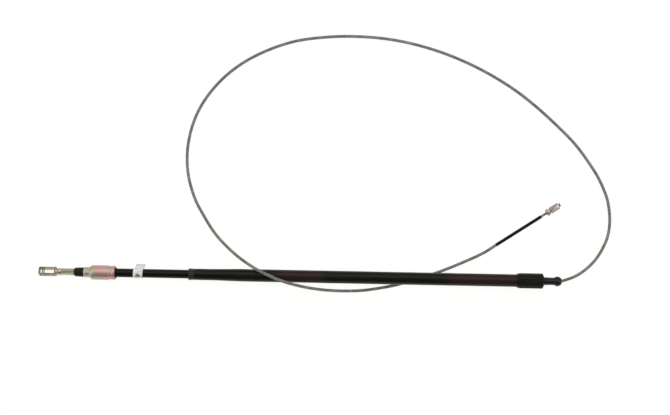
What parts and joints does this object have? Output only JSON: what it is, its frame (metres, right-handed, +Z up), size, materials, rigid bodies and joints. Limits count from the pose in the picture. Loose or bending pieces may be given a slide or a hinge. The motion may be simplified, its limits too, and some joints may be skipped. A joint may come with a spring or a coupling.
{
  "type": "parking brake cable",
  "caption": "Parking brake cable: an eye on a sliding wire rope, an armoured conduit with a ferrule and a ball end, and a long loop of coated rope that ends in a nipple.",
  "frame": {"origin": "on the surface that the cable lies on, under the middle of the straight body from the eye's tip to the ball's face", "axes": "+X along the body from the eye to the ball, +Y towards the loop of the free rope, +Z up"},
  "size_m": [0.6285, 0.284, 0.0199],
  "materials": {
    "zinc_steel": "zinc plated and passivated, with a faint yellow and pink sheen",
    "bare_steel": "drawn steel wire",
    "coated_rope": "wire rope in a thin grey plastic coating, satin",
    "black_plastic": "extruded black plastic, satin",
    "black_rubber": "moulded black rubber",
    "white_liner": "smooth plastic liner",
    "white_label": "bare white film, lightly smudged"
  },
  "bodies": {
    "conduit": {"rope_boot": "black_rubber", "ferrule": "zinc_steel", "ferrule_seal": "black_rubber", "conduit_liner": "white_liner", "conduit_winding": "bare_steel", "conduit_jacket": "black_plastic", "label_wrap": "white_label", "protective_tube": "black_plastic", "end_sleeve": "black_rubber", "ball_guide": "black_plastic", "free_rope": "coated_rope", "rope_sheath": "black_plastic", "rope_end": "bare_steel", "nipple": "zinc_steel"},
    "inner_wire": {"eye_loop": "zinc_steel", "eye_pin": "zinc_steel", "crimp_sleeve": "zinc_steel", "inner_rope": "coated_rope"}
  },
  "joints": [
    {"name": "wire_slide", "type": "slide", "parent": "conduit", "child": "inner_wire", "axis": [-1, 0, -0.0072], "range_m": [0, 0.035]}
  ]
}
